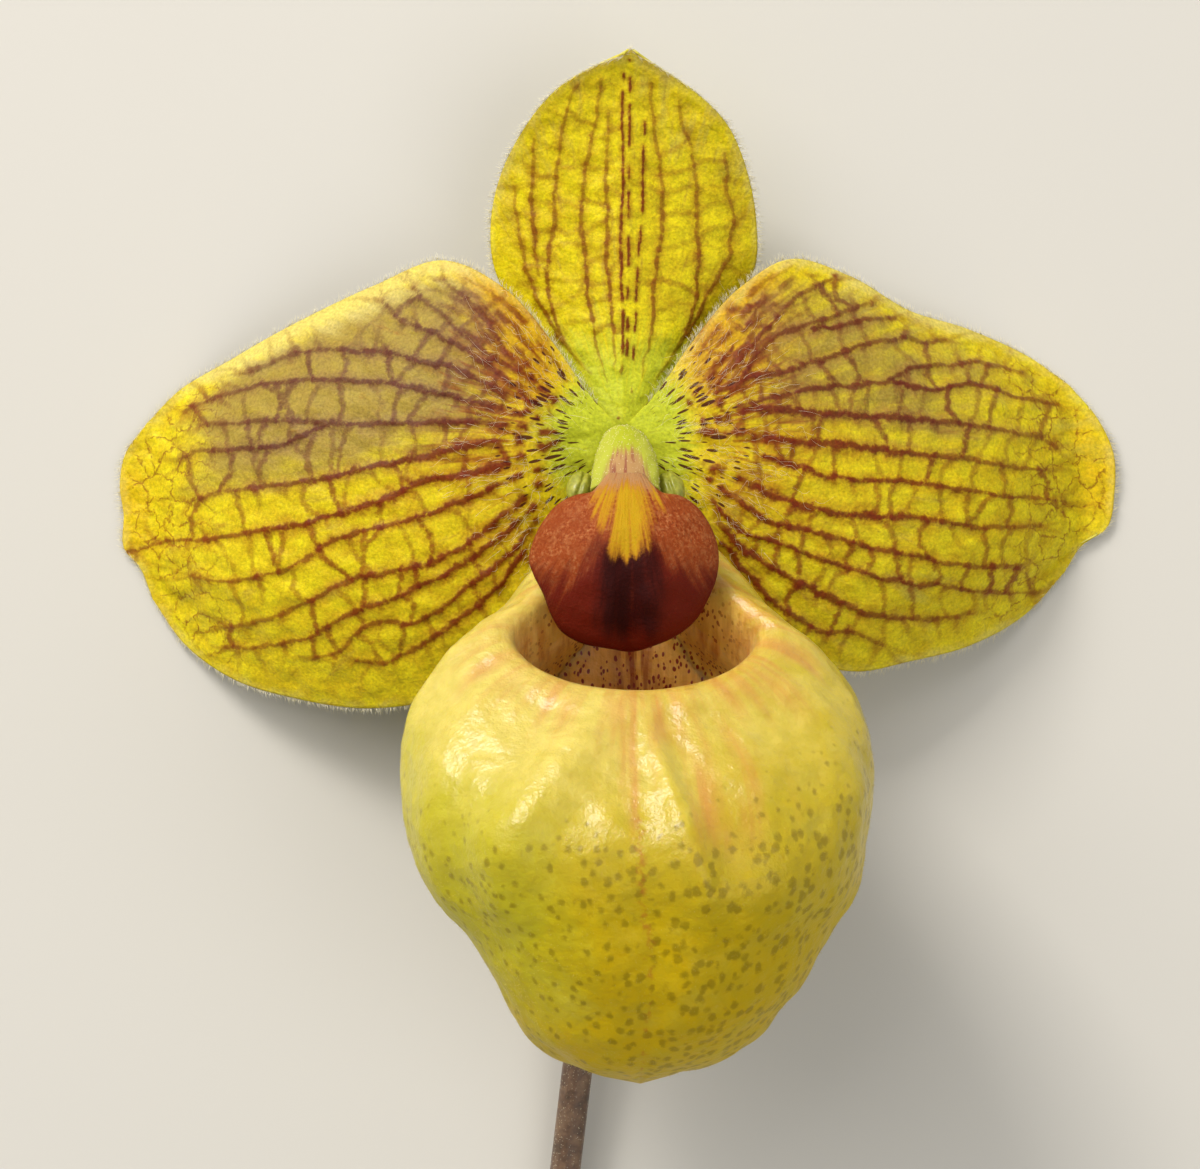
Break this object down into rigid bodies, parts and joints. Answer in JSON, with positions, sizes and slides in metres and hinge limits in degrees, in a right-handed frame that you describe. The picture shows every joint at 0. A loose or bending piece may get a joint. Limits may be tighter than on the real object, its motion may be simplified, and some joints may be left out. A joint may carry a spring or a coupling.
{
  "type": "paphiopedilum orchid bloom",
  "caption": "Slipper-orchid bloom, cut with a length of hairy stem and lying face up: net-veined petals and sepals round an inflated pouch with a rolled mouth and a domed shield over it.",
  "frame": {"origin": "middle of the bloom's footprint with its stem, on the surface that it lies on", "axes": "+X to the right and +Y up as the flower is looked at, from the cut end of the stem towards the tip of the upper sepal; +Z out of the flower's face"},
  "size_m": [0.1054, 0.1762, 0.0488],
  "materials": {
    "petal": "satin petal skin, yellow with a maroon net of veins",
    "sepal": "satin petal skin, yellow-green with brown veins",
    "pouch": "waxy, pale yellow with olive speckles",
    "staminode": "waxy, maroon with a yellow blaze",
    "column": "waxy, pale green-white",
    "stigma": "moist, cream",
    "pollen": "sticky, golden yellow",
    "ovary": "downy, brown-green, ribbed",
    "bract": "leaf skin, green",
    "stem": "downy, brown-pink"
  },
  "bodies": {
    "root": {"petal_left": "petal", "petal_right": "petal", "sepal_upper": "sepal", "sepal_lower": "sepal", "pouch": "pouch", "staminode": "staminode", "column": "column", "stigma": "stigma", "anther_left": "pollen", "anther_right": "pollen", "ovary": "ovary", "bract": "bract", "stem": "stem"}
  },
  "joints": []
}
